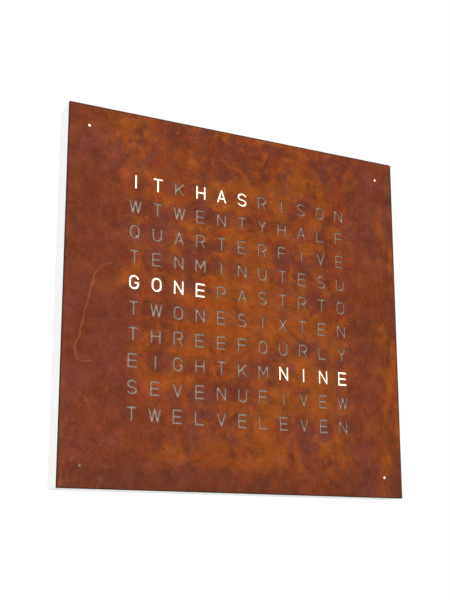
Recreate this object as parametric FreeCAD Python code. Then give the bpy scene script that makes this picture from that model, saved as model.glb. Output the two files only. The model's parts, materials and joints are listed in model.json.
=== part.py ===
import FreeCAD, Part
import math
import os

# Word clock for the wall
# A rusted steel front cover is held by magnets on a white frame of four mitred
# boards. Behind the cover lie a diffuser, an egg-crate light grid with one cell
# for each letter, a board of LEDs, the control board and a back cover with a
# well for the plug. Two keyhole plates in the side boards hang it on the wall.
#
# +X is right as seen from the front, +Y goes to the wall and +Z is up.
# The origin is the middle of the rear face, so the wall is the plane y = 0.
# The letters and the rust are finish, and aren't cut here.

V = FreeCAD.Vector

# Whole clock, in millimetres
SIDE = 450.0                # width and height
COVER_T = 2.0               # steel front cover
FRAME_D = 34.0              # frame, from the wall to the cover
COVER_CORNER_R = 1.0
FRAME_CORNER_R = 1.5

# Frame boards
RAIL_T = 18.0               # thickness of each board
RAIL_EDGE_R = 0.8           # rounding of the long outer edges

# Letter field and minute dots
COLUMNS = 11
ROWS = 10
FIELD = 309.0               # width and height of the letter field
DOT_INSET = 25.5            # from the clock's edges to the middle of a minute dot
DOT_HOLE_R = 1.8

# Diffuser, glued to the cover
DIFFUSER_T = 1.0
DIFFUSER_GAP = 1.0          # to the frame, all round

# Layers from the wall forward
BACK_T = 3.0                # back cover
BACK_GAP = 0.5              # back cover to the frame, all round
BLOCK_D = 14.4              # glue blocks between back cover and LED board
LED_BOARD_T = 1.6
LED_BOARD_GAP = 1.0         # LED board to the frame, all round
GRID_GAP = 0.3              # grid to the diffuser

# Light grid
SLAT_T = 1.5
SLAT_END = 6.0              # what a slat stands out past the last crossing
LAP_GAP = 0.1               # slack on each side of a lap
TAB_L = 8.0
TAB_GAP = 0.15              # slack round a tab in its slot
TAB_Z = 108.0               # height of the tabs above and below the middle
DOT_BOX_W = 12.0            # light box behind a minute dot, outside

# LEDs and driver chips
LED_W = 5.0
LED_T = 1.5
DRIVERS = 8
DRIVER_L = 10.0
DRIVER_W = 6.0
DRIVER_T = 1.6
DRIVER_PITCH = 32.0
DRIVER_Z = 40.0             # height of the row of driver chips

# Glue blocks
CORNER_BLOCK_LEG = 44.0
CORNER_BLOCK_NOSE = 12.0    # width of the leg's free end
SIDE_BLOCK_L = 30.0
SIDE_BLOCK_W = 20.0
SIDE_BLOCK_GAP = 2.0        # from a block to the button board

# Magnets and locating pins
MAGNET_R = 5.0
MAGNET_T = 3.0
MAGNET_SUNK = 0.2           # below the frame's front face
MAGNET_GAP = 0.1
MAGNET_AT = 150.0           # from the middle of the board to each magnet
PIN_R = 2.5
PIN_L = 8.0
PIN_GAP = 0.4               # slack round a pin in its hole
PIN_END_GAP = 1.0
PIN_AT = 110.0              # from the middle of the side boards to each pin

# Screws
BACK_SCREW_R = 1.6
BACK_SCREW_HEAD_R = 3.2
BACK_SCREW_L = 11.0
BACK_SCREW_SUNK = 0.1
SCREW_GAP = 0.05            # slack round a screw in its hole

# Keyhole hanger plates
HANGER_W = 13.0
HANGER_H = 42.0
HANGER_T = 2.0
HANGER_DROP = 45.0          # from the clock's top to the middle of the round entry
ENTRY_R = 4.75
SLOT_R = 2.2
SLOT_RISE = 9.0             # from the entry up to the slot's end
HANGER_GAP = 0.2
HEAD_POCKET_R = 5.3
HEAD_POCKET_D = 9.0         # from the frame's rear face
HANGER_SCREW_AT = 17.0      # from the plate's middle to each screw
HANGER_SCREW_R = 1.4
HANGER_SCREW_HEAD_R = 2.7
HANGER_SCREW_L = 12.0

# Cable well and DC inlet
WELL_W = 46.0               # outside
WELL_H = 60.0               # outside, up from the frame's lower board
WELL_D = 16.0
WELL_WALL = 1.5
WELL_GAP = 0.2
WELL_EAR = 7.0              # flange behind the back cover, left and right
CHANNEL_W = 8.0
CHANNEL_D = 7.0
INLET_Y = -8.7              # middle of the inlet, from the wall
INLET_THREAD_R = 4.0
INLET_THREAD_L = 4.5        # below the well's top wall
INLET_COLLAR_R = 5.2
INLET_COLLAR_T = 1.5
INLET_BODY_R = 4.75
INLET_BODY_L = 9.0
INLET_BORE_R = 2.85
INLET_BORE_D = 10.0
INLET_PIN_R = 1.0
INLET_GAP = 0.15
NUT_FLATS = 9.5
NUT_T = 2.0

# Control board
CONTROL_GAP = 17.0          # from the cable well to the board
CONTROL_RISE = 105.0        # from the clock's bottom to the board's middle
CONTROL_W = 90.0
CONTROL_H = 70.0
CONTROL_BOARD_T = 1.6
SPACER_L = 5.0
SPACER_FLATS = 5.5
SPACER_INSET = 4.5          # from the board's edges
CHIP_W = 12.0
CHIP_T = 1.4
CHIP_GAP = 3.0              # from the chip to the coin cell's holder
CELL_R = 10.0
CELL_T = 3.2
HOLDER_W = 23.0
HOLDER_T = 4.4
HOLDER_FLOOR = 1.0
CELL_GAP = 0.3
COIL_W = 8.0
COIL_T = 4.0
CAPACITOR_R = 3.1
CAPACITOR_H = 5.0
CAPACITOR_PITCH = 9.0

# Plugs and leads
RIBBON_W = 16.0
RIBBON_T = 0.9
RIBBON_PLUG_W = 20.0
RIBBON_PLUG_H = 6.0
RIBBON_PLUG_T = 3.6
RIBBON_RISE = 46.0          # from the control board's plug up to the LED board's
RIBBON_RUN = 10.0           # straight stretch at each plug
RIBBON_R = 5.0
LEAD_W = 4.0                # flat two-core lead
LEAD_T = 1.8
LEAD_RUN = 9.0              # straight stretch at each end
LEAD_R = 6.0                # bends, at the middle of the lead
LEAD_PLUG_W = 7.0
LEAD_PLUG_T = 5.0

# Push buttons, low in the right side
BUTTON_NAMES = ["upper", "middle", "lower"]
BUTTON_PITCH = 16.0
BUTTON_RISE = 97.0          # from the clock's bottom to the middle button
BUTTON_Y = -10.0
BUTTON_R = 3.5
BUTTON_PROUD = 1.3
BUTTON_EDGE = 0.6           # chamfer round the cap
BUTTON_GAP = 0.3
BUTTON_TRAVEL = 0.8
COLLAR_R = 4.75
COLLAR_T = 1.2
COLLAR_GAP = 0.15           # collar to the side wall
STEM_R = 1.8
BUTTON_WALL = 4.0           # what the pocket leaves of the side board
POCKET_Y = 12.0
POCKET_MARGIN = 7.0         # past the outer buttons
BUTTON_BOARD_MARGIN = 15.0
BUTTON_BOARD_W = 12.0
BUTTON_BOARD_T = 1.6
SWITCH_W = 6.0
SWITCH_T = 3.6
SWITCH_WELL = 2.4           # depth of the plunger's hole
PLUNGER_R = 1.7
PLUNGER_GAP = 0.3
PLUNGER_OUT = 1.4           # what shows of the plunger at rest

# Places that follow from the sizes above
HALF = SIDE / 2
IN_HALF = HALF - RAIL_T
RAIL_MID = HALF - RAIL_T / 2
FRAME_FRONT = -FRAME_D
COVER_FRONT = FRAME_FRONT - COVER_T
DIFFUSER_REAR = FRAME_FRONT + DIFFUSER_T
GRID_FRONT = DIFFUSER_REAR + GRID_GAP
BACK_FRONT = -BACK_T
LED_BOARD_REAR = BACK_FRONT - BLOCK_D
LED_BOARD_FRONT = LED_BOARD_REAR - LED_BOARD_T
GRID_MID = (GRID_FRONT + LED_BOARD_FRONT) / 2
LED_BOARD_HALF = IN_HALF - LED_BOARD_GAP
DOT_AT = HALF - DOT_INSET
PITCH_X = FIELD / COLUMNS
PITCH_Z = FIELD / ROWS
CONTROL_REAR = BACK_FRONT - SPACER_L
CONTROL_FRONT = CONTROL_REAR - CONTROL_BOARD_T
CONTROL_X = WELL_W / 2 + CONTROL_GAP + CONTROL_W / 2
CONTROL_Z = CONTROL_RISE - HALF
BUTTON_Z = BUTTON_RISE - HALF
BUTTON_BOARD_HALF = BUTTON_PITCH * (len(BUTTON_NAMES) - 1) / 2 + BUTTON_BOARD_MARGIN
SIDE_BLOCK_AT = -BUTTON_Z - BUTTON_BOARD_HALF - SIDE_BLOCK_GAP - SIDE_BLOCK_L / 2
HANGER_Z = HALF - HANGER_DROP
WELL_BOTTOM = -IN_HALF + WELL_GAP
WELL_TOP = WELL_BOTTOM + WELL_H
POCKET_X = HALF - BUTTON_WALL

QUARTER_TURNS = [0, 1, 2, 3]
ORIGIN = V(0, 0, 0)
ALONG_Y = V(0, 1, 0)


def save(name, shape):
    """Write one piece, or one group of like pieces."""
    shape.exportStep("parts/" + name + ".step")
    print(name, len(shape.Solids), "solids", round(shape.Volume, 1), "mm3")


def box(x0, x1, y0, y1, z0, z1):
    return Part.makeBox(x1 - x0, y1 - y0, z1 - z0, V(x0, y0, z0))


def centred_box(x, z, width, height, y0, y1):
    return box(x - width / 2, x + width / 2, y0, y1, z - height / 2, z + height / 2)


def rod_y(x, z, radius, y0, y1):
    return Part.makeCylinder(radius, y1 - y0, V(x, y0, z), ALONG_Y)


def turned(shape, quarter):
    """A copy turned about the clock's middle by quarter turns, bottom to left to top."""
    copy = shape.copy()
    copy.rotate(ORIGIN, ALONG_Y, 90 * quarter)
    return copy


def round_the_frame(shape):
    """The same piece at the bottom, left, top and right of the clock."""
    return [turned(shape, quarter) for quarter in QUARTER_TURNS]


def unit(vector):
    return vector.normalize()


def rounded_face(corners, radii):
    """A flat face through the corners, each rounded by its radius; 0 leaves it sharp."""
    count = len(corners)
    stops = []
    for index, corner in enumerate(corners):
        to_last = unit(corners[index - 1] - corner)
        to_next = unit(corners[(index + 1) % count] - corner)
        half_angle = to_last.getAngle(to_next) / 2
        reach = radii[index] / math.tan(half_angle)
        to_arc = radii[index] / math.sin(half_angle) - radii[index]
        inward = unit(to_last + to_next)
        stops.append((corner + to_last * reach, corner + inward * to_arc, corner + to_next * reach))
    edges = []
    for index, (enter, middle, leave) in enumerate(stops):
        if radii[index] > 0:
            edges.append(Part.Arc(enter, middle, leave).toShape())
        after = stops[(index + 1) % count][0]
        if (after - leave).Length > 1e-6:
            edges.append(Part.makeLine(leave, after))
    return Part.Face(Part.Wire(edges))


def plate(half, corner_radius, y0, y1):
    """A square plate about the clock's middle."""
    corners = [V(-half, y0, -half), V(half, y0, -half), V(half, y0, half), V(-half, y0, half)]
    return rounded_face(corners, [corner_radius] * 4).extrude(V(0, y1 - y0, 0))


def cell_centres():
    """Middle of each letter's cell, row by row from the top left."""
    centres = []
    for row in range(ROWS):
        for column in range(COLUMNS):
            x = (column - (COLUMNS - 1) / 2) * PITCH_X
            z = ((ROWS - 1) / 2 - row) * PITCH_Z
            centres.append((x, z))
    return centres


def hexagon_y(x, z, flats, y0, y1):
    """Hexagonal bar along Y."""
    reach = flats / 2 / math.cos(math.radians(30))
    corners = []
    for index in range(6):
        angle = math.radians(60 * index)
        corners.append(V(x + reach * math.cos(angle), y0, z + reach * math.sin(angle)))
    return rounded_face(corners, [0] * 6).extrude(V(0, y1 - y0, 0))


def dot_centres():
    return [(sx * DOT_AT, sz * DOT_AT) for sx in (-1, 1) for sz in (-1, 1)]


# Front cover

def pin_centres():
    """Locating pins stand over the middle of the left and right boards."""
    return [(sx * RAIL_MID, sz * PIN_AT) for sx in (-1, 1) for sz in (-1, 1)]


def make_cover():
    cover = plate(HALF, COVER_CORNER_R, COVER_FRONT, FRAME_FRONT)
    for x, z in dot_centres():
        cover = cover.cut(rod_y(x, z, DOT_HOLE_R, COVER_FRONT, FRAME_FRONT))
    save("front_cover", cover)
    save("letter_diffuser", plate(IN_HALF - DIFFUSER_GAP, 0, FRAME_FRONT, DIFFUSER_REAR))
    pins = []
    for x, z in pin_centres():
        pins.append(rod_y(x, z, PIN_R, FRAME_FRONT, FRAME_FRONT + PIN_L))
    save("locating_pins", Part.makeCompound(pins))


# Frame

def magnet_centres():
    """Two magnets in the bottom board; the other boards repeat them."""
    return [(offset, -RAIL_MID) for offset in (-MAGNET_AT, MAGNET_AT)]


def plain_rail():
    """The bottom board: a profile with rounded outer edges, mitred at both ends."""
    profile = rounded_face(
        [V(-HALF, FRAME_FRONT, -IN_HALF), V(-HALF, 0, -IN_HALF),
         V(-HALF, 0, -HALF), V(-HALF, FRAME_FRONT, -HALF)],
        [0, 0, RAIL_EDGE_R, RAIL_EDGE_R])
    rail = profile.extrude(V(SIDE, 0, 0))
    mitre = rounded_face(
        [V(-HALF, FRAME_FRONT, -HALF), V(HALF, FRAME_FRONT, -HALF),
         V(IN_HALF, FRAME_FRONT, -IN_HALF), V(-IN_HALF, FRAME_FRONT, -IN_HALF)],
        [0, 0, 0, 0]).extrude(V(0, FRAME_D, 0))
    rail = rail.common(mitre).common(plate(HALF, FRAME_CORNER_R, FRAME_FRONT, 0))
    bore_end = FRAME_FRONT + MAGNET_SUNK + MAGNET_T
    for x, z in magnet_centres():
        rail = rail.cut(rod_y(x, z, MAGNET_R + MAGNET_GAP, FRAME_FRONT, bore_end))
    return rail


def pin_holes():
    holes = []
    for x, z in pin_centres():
        end = FRAME_FRONT + PIN_L + PIN_END_GAP
        holes.append(rod_y(x, z, PIN_R + PIN_GAP, FRAME_FRONT, end))
    return holes


def hanger_recess(x):
    """Seat for a hanger plate, pocket behind it for the wall screw's head, and pilot holes."""
    low, high = hanger_ends()
    seat = hanger_outline(x, HANGER_GAP, -HANGER_T)
    lower = rod_y(x, HANGER_Z, HEAD_POCKET_R, -HEAD_POCKET_D, 0)
    upper = rod_y(x, HANGER_Z + SLOT_RISE, HEAD_POCKET_R, -HEAD_POCKET_D, 0)
    middle_z = HANGER_Z + SLOT_RISE / 2
    between = centred_box(x, middle_z, 2 * HEAD_POCKET_R, SLOT_RISE, -HEAD_POCKET_D, 0)
    pilots = [rod_y(x, z, HANGER_SCREW_R + SCREW_GAP, -HANGER_SCREW_L, 0) for z in (low, high)]
    return seat.fuse([lower, upper, between] + pilots)


def button_pocket():
    """Pocket milled from inside the right board, with a hole for each button."""
    half_height = BUTTON_PITCH * (len(BUTTON_NAMES) - 1) / 2 + POCKET_MARGIN
    pocket = box(IN_HALF, POCKET_X, BUTTON_Y - POCKET_Y / 2, BUTTON_Y + POCKET_Y / 2,
                 BUTTON_Z - half_height, BUTTON_Z + half_height)
    holes = []
    for z in button_heights():
        holes.append(rod_x(BUTTON_R + BUTTON_GAP, POCKET_X, HALF, z))
    return pocket.fuse(holes)


def cable_channel():
    """Round-bottomed groove from the cable well to the underside."""
    floor_y = -CHANNEL_D + CHANNEL_W / 2
    groove = box(-CHANNEL_W / 2, CHANNEL_W / 2, floor_y, 0, -HALF, WELL_BOTTOM + WELL_WALL)
    length = WELL_BOTTOM + WELL_WALL + HALF
    bottom = Part.makeCylinder(CHANNEL_W / 2, length, V(0, floor_y, -HALF))
    return groove.fuse(bottom)


def make_frame():
    bottom, left, top, right = round_the_frame(plain_rail())
    save("frame_bottom", bottom.cut(cable_channel()))
    save("frame_top", top)
    save("frame_left", left.cut(pin_holes()).cut(hanger_recess(-RAIL_MID)))
    save("frame_right", right.cut(pin_holes() + [hanger_recess(RAIL_MID), button_pocket()]))
    magnets = []
    start = FRAME_FRONT + MAGNET_SUNK
    for x, z in magnet_centres():
        magnets += round_the_frame(rod_y(x, z, MAGNET_R, start, start + MAGNET_T))
    save("cover_magnets", Part.makeCompound(magnets))


# Glue blocks and the screws in them

def corner_block():
    """Bottom left block, with a cut-off nose on each leg."""
    leg = CORNER_BLOCK_LEG
    nose = CORNER_BLOCK_NOSE
    points = [(0, 0), (leg, 0), (leg, nose), (nose, leg), (0, leg)]
    corners = [V(-IN_HALF + x, LED_BOARD_REAR, -IN_HALF + z) for x, z in points]
    block = rounded_face(corners, [0] * len(corners)).extrude(V(0, BLOCK_D, 0))
    return block


def side_block(x):
    z = -IN_HALF + SIDE_BLOCK_W / 2
    return centred_box(x, z, SIDE_BLOCK_L, SIDE_BLOCK_W, LED_BOARD_REAR, BACK_FRONT)


def back_screw_centres():
    """Screws of the bottom blocks, one in the middle of each."""
    z = -IN_HALF + SIDE_BLOCK_W / 2
    return [(x, z) for x in (-SIDE_BLOCK_AT, SIDE_BLOCK_AT)]


def back_screw(x, z, radius_gap):
    """Countersunk screw from the rear; the gap makes its hole instead."""
    head_t = BACK_SCREW_HEAD_R - BACK_SCREW_R
    rear = -BACK_SCREW_SUNK
    head = Part.makeCone(BACK_SCREW_HEAD_R + radius_gap, BACK_SCREW_R + radius_gap, head_t,
                         V(x, rear, z), -ALONG_Y)
    shank = rod_y(x, z, BACK_SCREW_R + radius_gap, rear - BACK_SCREW_L - radius_gap, rear - head_t)
    return head.fuse(shank).removeSplitter()


def back_screw_hole(x, z):
    mouth = rod_y(x, z, BACK_SCREW_HEAD_R + SCREW_GAP, -BACK_SCREW_SUNK, 0)
    return back_screw(x, z, SCREW_GAP).fuse(mouth)


def all_round(centres):
    """The centres, repeated for the four sides of the clock."""
    places = []
    for x, z in centres:
        places += [(x, z), (z, -x), (-x, -z), (-z, x)]
    return places


def make_blocks():
    save("corner_blocks", Part.makeCompound(round_the_frame(corner_block())))
    pilot_end = -BACK_SCREW_SUNK - BACK_SCREW_L - SCREW_GAP
    sides = []
    for x, z in back_screw_centres():
        pilot = rod_y(x, z, BACK_SCREW_R + SCREW_GAP, pilot_end, BACK_FRONT)
        sides += round_the_frame(side_block(x).cut(pilot))
    save("side_blocks", Part.makeCompound(sides))
    back_screws = [back_screw(x, z, 0) for x, z in all_round(back_screw_centres())]
    save("back_cover_screws", Part.makeCompound(back_screws))


# Light grid: uprights and crossbars, half-lapped at every crossing

def tab_spans():
    return [(z - TAB_L / 2, z + TAB_L / 2) for z in (-TAB_Z, TAB_Z)]


def slat_profile(crossings, notch_from, notch_to, tabs):
    """Outline of a slat in its own plane, as (place along it, y), with notches and tabs.

    The notches are cut from the front edge or from the rear edge, as
    notch_from says, and end at notch_to. Tabs stand out of the rear edge.
    """
    end = FIELD / 2 + SLAT_END
    half_notch = SLAT_T / 2 + LAP_GAP
    notches = []
    for at in crossings:
        notches += [(at - half_notch, notch_from), (at - half_notch, notch_to),
                    (at + half_notch, notch_to), (at + half_notch, notch_from)]
    teeth = []
    for low, high in tabs:
        teeth += [(low, LED_BOARD_FRONT), (low, LED_BOARD_REAR),
                  (high, LED_BOARD_REAR), (high, LED_BOARD_FRONT)]
    front = notches if notch_from == GRID_FRONT else []
    rear = teeth if notch_from == GRID_FRONT else notches
    outline = [(-end, LED_BOARD_FRONT), (-end, GRID_FRONT)] + front
    outline += [(end, GRID_FRONT), (end, LED_BOARD_FRONT)] + rear[::-1]
    return outline


def slat(points):
    """Flat slat from the outline's corners, not yet thickened."""
    return Part.Face(Part.makePolygon(points + points[:1]))


def upright(x):
    """Vertical slat: notches from the front, tabs into the LED board."""
    crossings = [(row - ROWS / 2) * PITCH_Z for row in range(ROWS + 1)]
    outline = slat_profile(crossings, GRID_FRONT, GRID_MID + LAP_GAP, tab_spans())
    points = [V(x - SLAT_T / 2, y, z) for z, y in outline]
    return slat(points).extrude(V(SLAT_T, 0, 0))


def crossbar(z):
    """Level slat: notches from the rear."""
    crossings = [(column - COLUMNS / 2) * PITCH_X for column in range(COLUMNS + 1)]
    outline = slat_profile(crossings, LED_BOARD_FRONT, GRID_MID - LAP_GAP, [])
    points = [V(x, y, z - SLAT_T / 2) for x, y in outline]
    return slat(points).extrude(V(0, 0, SLAT_T))


def make_grid():
    uprights = [upright((column - COLUMNS / 2) * PITCH_X) for column in range(COLUMNS + 1)]
    save("grid_uprights", Part.makeCompound(uprights))
    crossbars = [crossbar((row - ROWS / 2) * PITCH_Z) for row in range(ROWS + 1)]
    save("grid_crossbars", Part.makeCompound(crossbars))
    boxes = []
    inside = DOT_BOX_W - 2 * SLAT_T
    for x, z in dot_centres():
        outer = centred_box(x, z, DOT_BOX_W, DOT_BOX_W, GRID_FRONT, LED_BOARD_FRONT)
        boxes.append(outer.cut(centred_box(x, z, inside, inside, GRID_FRONT, LED_BOARD_FRONT)))
    save("dot_light_boxes", Part.makeCompound(boxes))


# LED board

def driver_centres():
    return [((index - (DRIVERS - 1) / 2) * DRIVER_PITCH, DRIVER_Z) for index in range(DRIVERS)]


def make_led_board():
    board = plate(LED_BOARD_HALF, 0, LED_BOARD_FRONT, LED_BOARD_REAR)
    cuts = []
    for column in range(COLUMNS + 1):
        x = (column - COLUMNS / 2) * PITCH_X
        for low, high in tab_spans():
            cuts.append(centred_box(x, (low + high) / 2, SLAT_T + 2 * TAB_GAP,
                                    high - low + 2 * TAB_GAP, LED_BOARD_FRONT, LED_BOARD_REAR))
    save("led_board", board.cut(cuts))
    leds = []
    for x, z in cell_centres() + dot_centres():
        leds.append(centred_box(x, z, LED_W, LED_W, LED_BOARD_FRONT - LED_T, LED_BOARD_FRONT))
    save("leds", Part.makeCompound(leds))
    chips = []
    for x, z in driver_centres():
        chips.append(centred_box(x, z, DRIVER_L, DRIVER_W, LED_BOARD_REAR, LED_BOARD_REAR + DRIVER_T))
    save("driver_chips", Part.makeCompound(chips))


# Back cover

def make_back_cover():
    cover = plate(IN_HALF - BACK_GAP, 0, BACK_FRONT, 0)
    opening_half = WELL_W / 2 + WELL_GAP
    cuts = [box(-opening_half, opening_half, BACK_FRONT, 0, -IN_HALF, WELL_TOP + WELL_GAP)]
    for x, z in all_round(back_screw_centres()):
        cuts.append(back_screw_hole(x, z))
    save("back_cover", cover.cut(cuts))


# Hangers

def hanger_ends():
    """Heights of the two fixing screws of a hanger plate."""
    middle = HANGER_Z + SLOT_RISE / 2
    return (middle - HANGER_SCREW_AT, middle + HANGER_SCREW_AT)


def hanger_outline(x, gap, y0):
    """Round-ended plate, larger by the gap all round, from y0 to the rear face."""
    middle = HANGER_Z + SLOT_RISE / 2
    half_w = HANGER_W / 2 + gap
    half_h = HANGER_H / 2 + gap
    corners = [V(x - half_w, y0, middle - half_h), V(x + half_w, y0, middle - half_h),
               V(x + half_w, y0, middle + half_h), V(x - half_w, y0, middle + half_h)]
    return rounded_face(corners, [half_w] * 4).extrude(V(0, -y0, 0))


def hanger_screw(x, z, gap):
    """Countersunk screw, flush with the plate's rear face; the gap makes its hole."""
    head_t = HANGER_SCREW_HEAD_R - HANGER_SCREW_R
    head = Part.makeCone(HANGER_SCREW_HEAD_R + gap, HANGER_SCREW_R + gap, head_t, V(x, 0, z), -ALONG_Y)
    shank = rod_y(x, z, HANGER_SCREW_R + gap, -HANGER_SCREW_L, -head_t)
    return head.fuse(shank)


def make_hangers():
    screws = []
    for name, x in (("left", -RAIL_MID), ("right", RAIL_MID)):
        entry = rod_y(x, HANGER_Z, ENTRY_R, -HANGER_T, 0)
        slot_end = rod_y(x, HANGER_Z + SLOT_RISE, SLOT_R, -HANGER_T, 0)
        slot = centred_box(x, HANGER_Z + SLOT_RISE / 2, 2 * SLOT_R, SLOT_RISE, -HANGER_T, 0)
        holes = [hanger_screw(x, z, SCREW_GAP) for z in hanger_ends()]
        hanger = hanger_outline(x, 0, -HANGER_T).cut([entry, slot_end, slot] + holes)
        save("hanger_plate_" + name, hanger)
        screws += [hanger_screw(x, z, 0) for z in hanger_ends()]
    save("hanger_screws", Part.makeCompound(screws))


# Cable well and inlet

def rod_z(radius, z0, z1):
    """Round bar on the inlet's axis."""
    return Part.makeCylinder(radius, z1 - z0, V(0, INLET_Y, z0))


def make_well():
    half = WELL_W / 2
    outer = box(-half, half, -WELL_D, 0, WELL_BOTTOM, WELL_TOP)
    inner = box(-half + WELL_WALL, half - WELL_WALL, -WELL_D + WELL_WALL, 0,
                WELL_BOTTOM + WELL_WALL, WELL_TOP - WELL_WALL)
    ear = WELL_EAR + WELL_GAP
    ears = box(-half - ear, half + ear, BACK_FRONT - WELL_WALL, BACK_FRONT,
               WELL_BOTTOM + WELL_EAR, WELL_TOP - WELL_EAR)
    well = outer.fuse(ears).cut(inner).cut(cable_channel())
    hole = rod_z(INLET_THREAD_R + INLET_GAP, WELL_TOP - WELL_WALL, WELL_TOP)
    save("cable_well", well.cut(hole).removeSplitter())


def inlet_nut():
    """Hexagon nut under the well's top wall, flats to front and rear."""
    across_corners = NUT_FLATS / math.cos(math.radians(30))
    top = WELL_TOP - WELL_WALL
    corners = []
    for index in range(6):
        angle = math.radians(60 * index)
        x = across_corners / 2 * math.cos(angle)
        corners.append(V(x, INLET_Y + across_corners / 2 * math.sin(angle), top - NUT_T))
    nut = rounded_face(corners, [0] * 6).extrude(V(0, 0, NUT_T))
    return nut.cut(rod_z(INLET_THREAD_R, top - NUT_T, top))


def make_inlet():
    """Barrel jack: thread through the wall, collar and body above it, bore and pin below."""
    mouth = WELL_TOP - WELL_WALL - INLET_THREAD_L
    body_top = WELL_TOP + INLET_COLLAR_T + INLET_BODY_L
    jack = rod_z(INLET_THREAD_R, mouth, WELL_TOP)
    jack = jack.fuse(rod_z(INLET_COLLAR_R, WELL_TOP, WELL_TOP + INLET_COLLAR_T))
    jack = jack.fuse(rod_z(INLET_BODY_R, WELL_TOP + INLET_COLLAR_T, body_top))
    jack = jack.cut(rod_z(INLET_BORE_R, mouth, mouth + INLET_BORE_D))
    jack = jack.fuse(rod_z(INLET_PIN_R, mouth + 1, mouth + INLET_BORE_D))
    save("dc_inlet", jack.removeSplitter())
    save("inlet_nut", inlet_nut())


# Control board

def spacer_centres():
    half_w = CONTROL_W / 2 - SPACER_INSET
    half_h = CONTROL_H / 2 - SPACER_INSET
    return [(CONTROL_X + sx * half_w, CONTROL_Z + sz * half_h) for sx in (-1, 1) for sz in (-1, 1)]


def coin_cell_centre():
    return (CONTROL_X + CONTROL_W / 2 - SPACER_INSET - HOLDER_W, CONTROL_Z - CONTROL_H / 5)


def make_control_board():
    board = centred_box(CONTROL_X, CONTROL_Z, CONTROL_W, CONTROL_H, CONTROL_FRONT, CONTROL_REAR)
    spacers = [hexagon_y(x, z, SPACER_FLATS, CONTROL_REAR, BACK_FRONT) for x, z in spacer_centres()]
    save("control_board", board)
    save("control_spacers", Part.makeCompound(spacers))
    x, z = coin_cell_centre()
    chip_x = x - HOLDER_W / 2 - CHIP_GAP - CHIP_W / 2
    chip = centred_box(chip_x, CONTROL_Z, CHIP_W, CHIP_W, CONTROL_FRONT - CHIP_T, CONTROL_FRONT)
    save("controller_chip", chip)
    holder = centred_box(x, z, HOLDER_W, HOLDER_W, CONTROL_FRONT - HOLDER_T, CONTROL_FRONT)
    cell_rear = CONTROL_FRONT - HOLDER_FLOOR
    seat = rod_y(x, z, CELL_R + CELL_GAP, CONTROL_FRONT - HOLDER_T, cell_rear)
    save("coin_cell_holder", holder.cut(seat))
    save("coin_cell", rod_y(x, z, CELL_R, cell_rear - CELL_T, cell_rear))
    coil_x = CONTROL_X - CONTROL_W / 2 + 3 * COIL_W
    save("regulator_coil", centred_box(coil_x, CONTROL_Z - CONTROL_H / 4, COIL_W, COIL_W,
                                       CONTROL_FRONT - COIL_T, CONTROL_FRONT))
    capacitors = []
    for step in (-1, 1):
        x = coil_x + step * CAPACITOR_PITCH
        capacitors.append(rod_y(x, CONTROL_Z - CONTROL_H / 4, CAPACITOR_R,
                                CONTROL_FRONT - CAPACITOR_H, CONTROL_FRONT))
    save("smoothing_capacitors", Part.makeCompound(capacitors))


# Ribbon cable and flat leads

def strip(spine, thickness, bend_radius, across):
    """Flat cable: the spine's two side lines, rounded at its bends, extruded by the width."""
    half = thickness / 2
    runs = [unit(after - before) for before, after in zip(spine, spine[1:])]
    sides = [unit(run.cross(across)) for run in runs]
    left = [spine[0] + sides[0] * half]
    right = [spine[0] - sides[0] * half]
    left_radii = [0]
    right_radii = [0]
    for index in range(1, len(runs)):
        last_side = sides[index - 1]
        mitre = (last_side + sides[index]) * (half / (1 + last_side.dot(sides[index])))
        left.append(spine[index] + mitre)
        right.append(spine[index] - mitre)
        bends_left = runs[index].dot(last_side) > 0
        left_radii.append(bend_radius - half if bends_left else bend_radius + half)
        right_radii.append(bend_radius + half if bends_left else bend_radius - half)
    left.append(spine[-1] + sides[-1] * half)
    right.append(spine[-1] - sides[-1] * half)
    face = rounded_face(left + right[::-1], left_radii + [0] + [0] + right_radii[::-1])
    face.translate(across * -0.5)
    return face.extrude(across)


def ribbon_heights():
    """Middle of the control board's plug and of the LED board's plug."""
    low = CONTROL_Z + CONTROL_H / 2 - 2 * SPACER_INSET
    return (low, low + RIBBON_RISE)


def make_ribbon():
    low, high = ribbon_heights()
    front_y = LED_BOARD_REAR + RIBBON_PLUG_T
    rear_y = CONTROL_FRONT - RIBBON_PLUG_T
    plugs = [centred_box(CONTROL_X, low, RIBBON_PLUG_W, RIBBON_PLUG_H, rear_y, CONTROL_FRONT),
             centred_box(CONTROL_X, high, RIBBON_PLUG_W, RIBBON_PLUG_H, LED_BOARD_REAR, front_y)]
    save("ribbon_plugs", Part.makeCompound(plugs))
    y_low = rear_y + RIBBON_PLUG_T / 2
    y_high = front_y - RIBBON_PLUG_T / 2
    z0 = low + RIBBON_PLUG_H / 2
    z1 = high - RIBBON_PLUG_H / 2
    spine = [V(CONTROL_X, y, z) for y, z in
             [(y_low, z0), (y_low, z0 + RIBBON_RUN), (y_high, z1 - RIBBON_RUN), (y_high, z1)]]
    save("ribbon_cable", strip(spine, RIBBON_T, RIBBON_R, V(RIBBON_W, 0, 0)))


def lead_plug_spots():
    """Where the two lead plugs stand on the control board: power, then buttons."""
    left = CONTROL_X - CONTROL_W / 2 + LEAD_PLUG_W
    right = CONTROL_X + CONTROL_W / 2 - LEAD_PLUG_W
    return [(left, CONTROL_Z + CONTROL_H / 5), (right, CONTROL_Z + CONTROL_H / 5)]


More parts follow.
